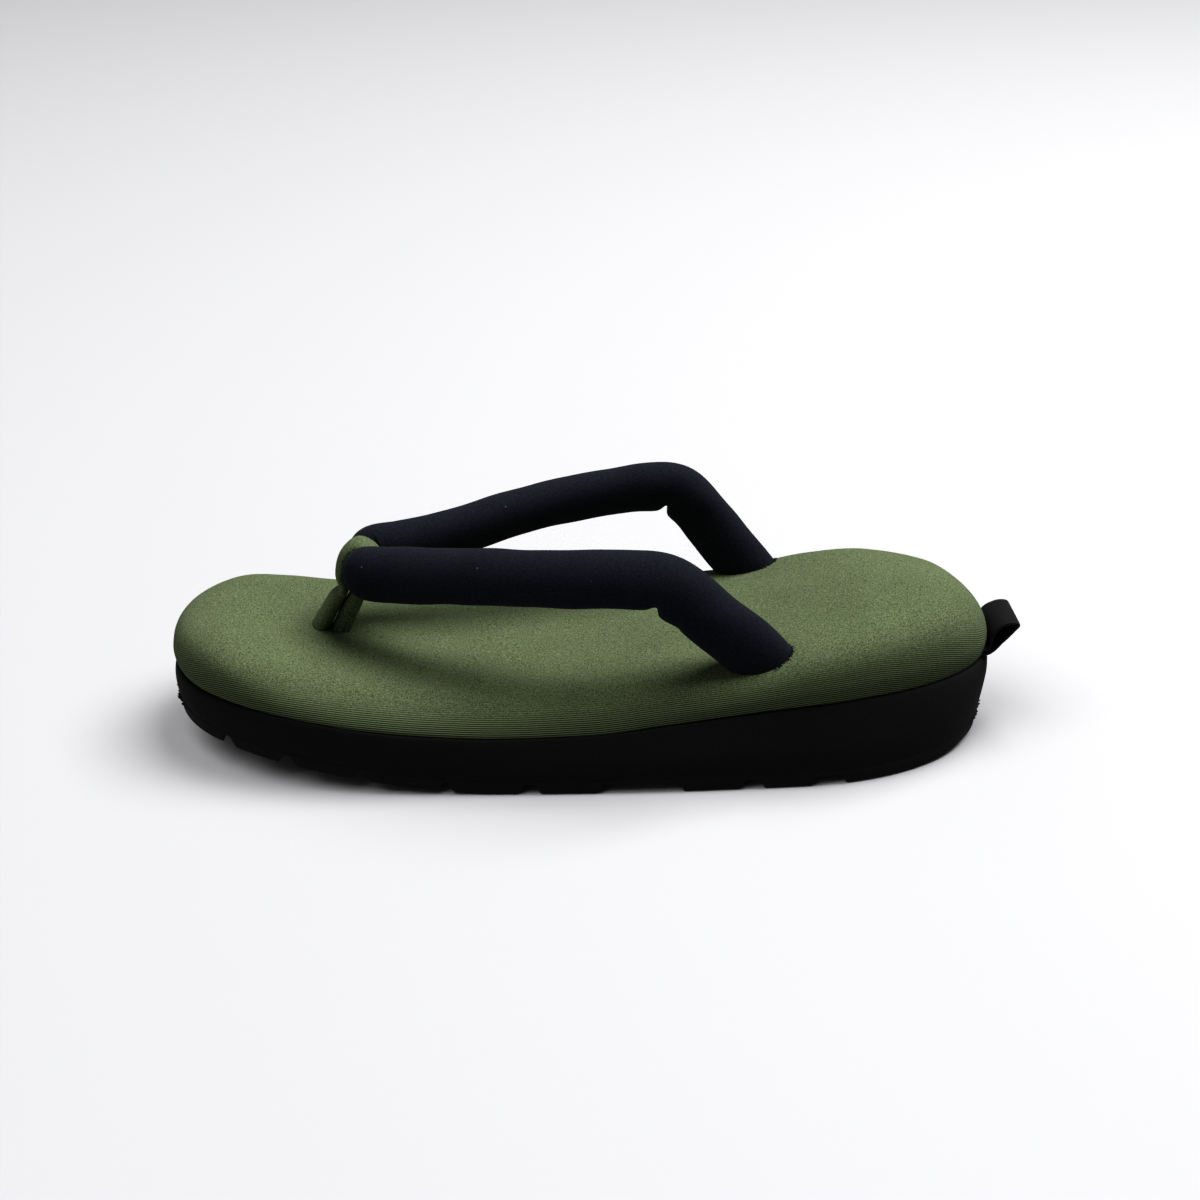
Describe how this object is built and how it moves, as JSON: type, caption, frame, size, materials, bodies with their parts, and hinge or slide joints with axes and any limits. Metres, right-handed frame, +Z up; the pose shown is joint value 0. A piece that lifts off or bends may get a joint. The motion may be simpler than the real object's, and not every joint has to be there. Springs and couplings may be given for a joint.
{
  "type": "setta sandal",
  "caption": "Padded setta sandal: puffy fabric footbed on a black lugged rocker sole, stuffed V-shaped strap held by a looped toe thong, ribbon tab at the heel.",
  "frame": {"origin": "floor point under the middle of the sandal's length and width", "axes": "+X towards the toe, +Y towards the wearer's left, +Z up"},
  "size_m": [0.2766, 0.1046, 0.0771],
  "materials": {
    "sponge_rubber": "matt black sponge rubber",
    "eva_foam": "matt black buffed EVA foam",
    "green_knit": "olive green knit-faced neoprene over foam",
    "navy_knit": "navy black knit-faced neoprene over wadding",
    "thong_knit": "olive green knit-faced neoprene over cord",
    "webbing": "black woven ribbon, bare"
  },
  "bodies": {
    "root": {"outsole": "sponge_rubber", "midsole": "eva_foam", "footbed": "green_knit", "hanao": "navy_knit", "maetsubo": "thong_knit", "heel_tab": "webbing"}
  },
  "joints": []
}
